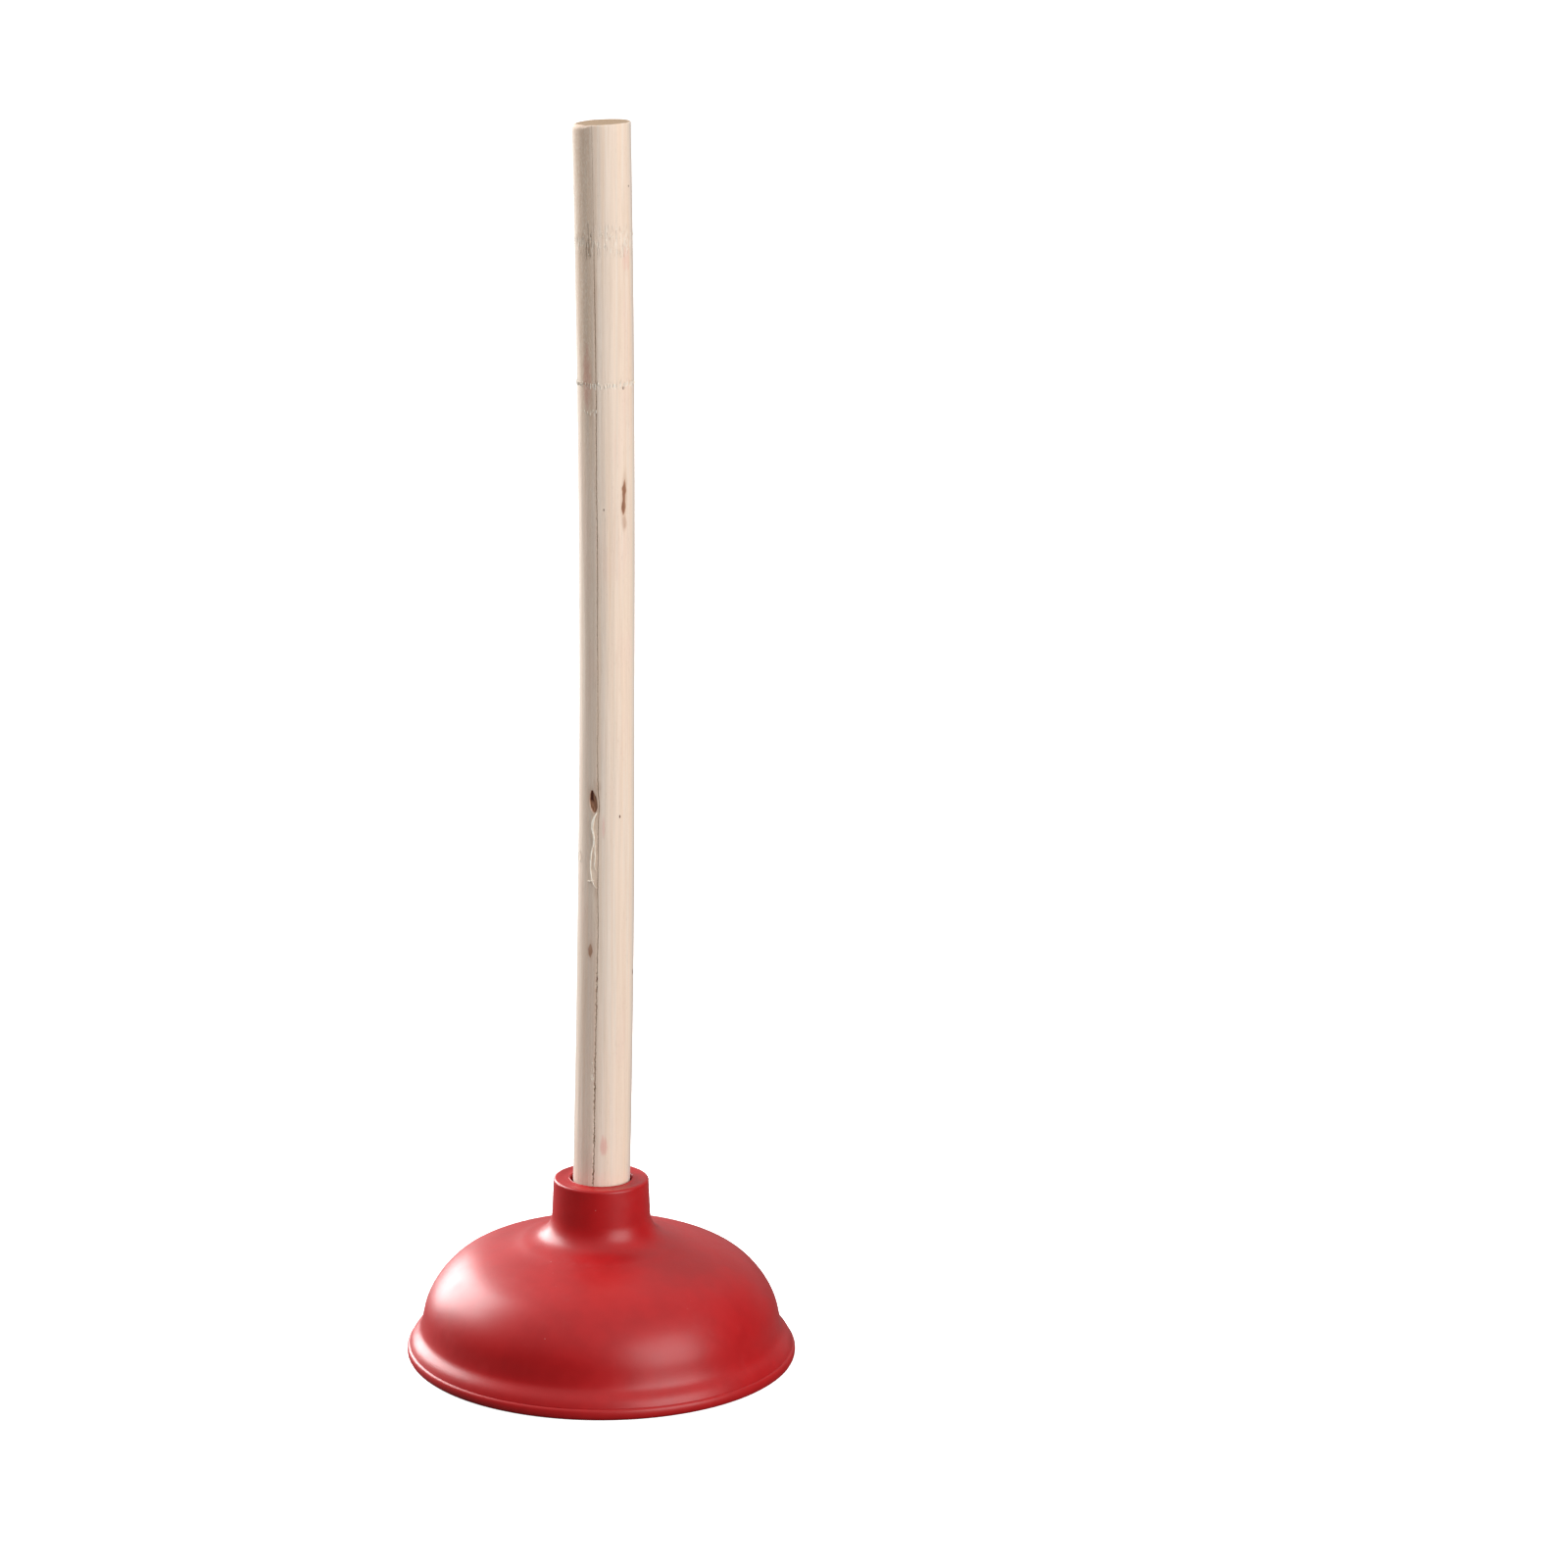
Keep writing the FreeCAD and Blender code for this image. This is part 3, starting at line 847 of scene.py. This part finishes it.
def makeScrew():
    s = fixing
    low, high = s["head"]
    width, reach, depth, angle = s["recess"]
    shank, threadFrom = s["shank"]
    outline = [(r, low) for r in np.linspace(0.15, s["headRadius"] - s["headRound"] - 0.2, 18)]
    faceRows = len(outline)
    outline += roundTurn((s["headRadius"] - s["headRound"], low + s["headRound"]), s["headRound"], -90, 0, 8)
    outline += [(s["headRadius"], s["headSide"]), (s["headRadius"], high - 0.15)]
    outline += [(s["headRadius"] - 0.15, high)]
    outline += straight((s["headRadius"] - 0.6, high), (shank + 0.15, high), 4)
    outline += straight((shank, high + 0.15), (shank, threadFrom), 10)
    outline += [(shank, h) for h in np.arange(threadFrom, s["tip"] - 0.3, 0.18)]
    rings = turnedRings(outline, s["columns"])
    turn = np.arctan2(rings[..., 1], rings[..., 0])
    height = rings[..., 2].copy()
    phase = (height / s["pitch"] - turn / (2 * math.pi)) % 1
    tooth = np.clip(1 - np.abs(phase - 0.5) / 0.24, 0, 1)
    begin, end = ease(height, threadFrom, threadFrom + 1.6), ease(height, s["tip"], s["taper"])
    slim = 0.12 + 0.88 * np.sqrt(end)
    thread = (s["root"] + (shank - s["root"]) * tooth) * slim / shank
    scale = 1 + (thread - 1) * begin
    rings[..., 0] *= scale
    rings[..., 1] *= scale
    along = rings[..., 0] * math.cos(math.radians(angle)) + rings[..., 1] * math.sin(math.radians(angle))
    across = rings[..., 1] * math.cos(math.radians(angle)) - rings[..., 0] * math.sin(math.radians(angle))
    arms = []
    for run, side in ((along, across), (across, along)):
        within = ease(np.abs(side), width / 2 + 0.1, width / 2 - 0.1)
        arms.append(within * ease(np.abs(run), reach / 2 + 0.1, reach / 2 - 0.3))
    onFace = np.arange(len(outline))[:, None] < faceRows
    rings[..., 2] += depth * np.maximum(*arms) * onFace
    return pieceFromRings("fixingScrew", rings, False, steelFinish)


steelFinish = platedSteel()
for piece, node in ((makeWasher(), "fixing_washer"), (makeScrew(), "fixing_screw")):
    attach(piece, "handle")
    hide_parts(node)
    print(piece.name + ":", len(piece.data.polygons), "faces")


studio = {
    "floorSize": 40.0,
    "floorColour": (0.93, 0.93, 0.93),
    "floorBounce": (0.13, 0.13, 0.13),
    "floorGlow": 0.82,
    "air": (0.10, 0.84),  # brightness at the horizon and overhead
    "backAir": 0.34,  # more of it behind the plunger
    # azimuth from the camera's side towards +X, elevation, distance, width, height, lean, watts
    "softboxes": [
        ("backSoftbox", -132, 24, 2.3, 2.40, 1.15, 40, 100),
        ("frontSoftbox", 44, 20, 1.9, 1.35, 1.35, 0, 31),
    ],
    "aim": 0.06,
    "cameraDistance": 1.7596,
    "cameraHeight": 0.6538,
    "cameraPitch": 13.5,
    "lens": 110.87,
    "shift": (0.1166, -0.0101),
}


def paleFloor():
    f = Finish("paleFloor")
    seen = f.node("ShaderNodeLightPath", {}, {}, "Is Camera Ray")
    return f.wear(
        Base_Color=f.mix(seen, studio["floorBounce"], studio["floorColour"]),
        Roughness=1.0,
        Specular_IOR_Level=0.0,
        Emission_Color=f.mix(seen, (0, 0, 0), (1, 1, 1)),
        Emission_Strength=studio["floorGlow"],
    )


def makeStudio():
    half = studio["floorSize"] / 2
    mesh = bpy.data.meshes.new("paleFloor")
    corners = [(-half, -half, 0), (half, -half, 0), (half, half, 0), (-half, half, 0)]
    mesh.from_pydata(corners, [], [(0, 1, 2, 3)])
    mesh.materials.append(paleFloor())
    floor = bpy.data.objects.new("paleFloor", mesh)
    bpy.context.scene.collection.objects.link(floor)
    for name, azimuth, elevation, distance, width, height, lean, watts in studio["softboxes"]:
        lamp = bpy.data.lights.new(name, "AREA")
        lamp.shape = "RECTANGLE"
        lamp.size, lamp.size_y = width, height
        lamp.energy = watts
        turn, lift = math.radians(azimuth), math.radians(elevation)
        away = Vector((math.sin(turn) * math.cos(lift), -math.cos(turn) * math.cos(lift), math.sin(lift)))
        holder = bpy.data.objects.new(name, lamp)
        holder.location = Vector((0, 0, studio["aim"])) + away * distance
        leaning = Quaternion((0, 0, 1), math.radians(lean))
        holder.rotation_euler = (away.to_track_quat("Z", "Y") @ leaning).to_euler()
        holder.visible_camera = False
        bpy.context.scene.collection.objects.link(holder)
    world = bpy.data.worlds.new("studioAir")
    bpy.context.scene.world = world
    world.use_nodes = True
    air = Nodes(world.node_tree)
    behind, up = air.axes(air.node("ShaderNodeTexCoord", {}, {}, "Generated"))[1:]
    seen = air.node("ShaderNodeLightPath", {}, {}, "Is Camera Ray")
    low, high = studio["air"]
    glow = low + air.rise(up, 0.25, 0.95) * (high - low)
    glow = glow + air.rise(behind, 0.35, 0.95) * air.rise(up, 0.75, 0.30) * studio["backAir"]
    backdrop = air.tree.nodes["Background"]
    backdrop.inputs["Color"].default_value = (1, 1, 1, 1)
    air.tree.links.new((glow + seen * (1 - glow)).socket, backdrop.inputs["Strength"])
    bpy.context.scene.view_settings.view_transform = "Standard"


def makeCamera():
    lens = bpy.data.cameras.new("camera")
    lens.lens = studio["lens"]
    lens.sensor_width = 36
    lens.shift_x, lens.shift_y = studio["shift"]
    holder = bpy.data.objects.new("camera", lens)
    holder.location = (0, -studio["cameraDistance"], studio["cameraHeight"])
    holder.rotation_euler = (math.radians(90 - studio["cameraPitch"]), 0, 0)
    bpy.context.scene.collection.objects.link(holder)
    bpy.context.scene.camera = holder


makeStudio()
makeCamera()
print("studio: softboxes, floor and camera")
